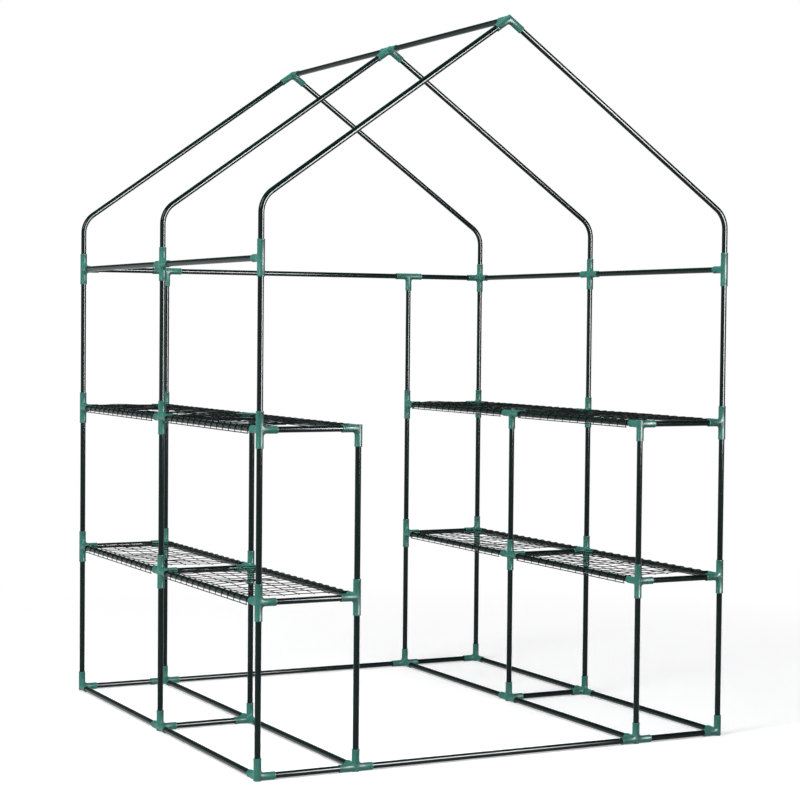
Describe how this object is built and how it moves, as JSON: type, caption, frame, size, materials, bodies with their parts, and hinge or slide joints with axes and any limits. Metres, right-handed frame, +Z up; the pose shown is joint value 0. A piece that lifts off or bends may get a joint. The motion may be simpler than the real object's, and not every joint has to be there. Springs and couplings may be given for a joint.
{
  "type": "walk-in greenhouse frame",
  "caption": "Uncovered walk-in greenhouse frame of dark coated tubes in green moulded sockets, with a pitched roof and wire shelves along both sides.",
  "frame": {"origin": "centre of the footprint, on the ground", "axes": "+X to the right of someone at the doorway facing in, +Y from the doorway to the back, +Z up"},
  "size_m": [1.4294, 1.4288, 1.9721],
  "materials": {
    "tube": "gloss coat",
    "socket": "satin moulded",
    "wire": "plastic-coated wire"
  },
  "bodies": {
    "root": {"front_rafters": "tube", "middle_rafters": "tube", "back_rafters": "tube", "ridge_tubes": "tube", "left_eave_tubes": "tube", "right_eave_tubes": "tube", "back_eave_tubes": "tube", "left_base_tubes": "tube", "right_base_tubes": "tube", "front_base_tube": "tube", "back_base_tube": "tube", "front_left_post": "tube", "front_left_inner_post": "tube", "front_right_post": "tube", "front_right_inner_post": "tube", "middle_left_post": "tube", "middle_left_inner_post": "tube", "middle_right_post": "tube", "middle_right_inner_post": "tube", "back_left_post": "tube", "back_left_inner_post": "tube", "back_right_post": "tube", "back_right_inner_post": "tube", "left_lower_shelf_tubes": "tube", "left_upper_shelf_tubes": "tube", "right_lower_shelf_tubes": "tube", "right_upper_shelf_tubes": "tube", "left_lower_front_grid": "wire", "left_lower_back_grid": "wire", "left_upper_front_grid": "wire", "left_upper_back_grid": "wire", "right_lower_front_grid": "wire", "right_lower_back_grid": "wire", "right_upper_front_grid": "wire", "right_upper_back_grid": "wire", "ridge_sockets": "socket", "left_eave_sockets": "socket", "right_eave_sockets": "socket", "back_eave_sockets": "socket", "left_lower_shelf_sockets": "socket", "left_upper_shelf_sockets": "socket", "right_lower_shelf_sockets": "socket", "right_upper_shelf_sockets": "socket", "left_base_sockets": "socket", "right_base_sockets": "socket"}
  },
  "joints": []
}
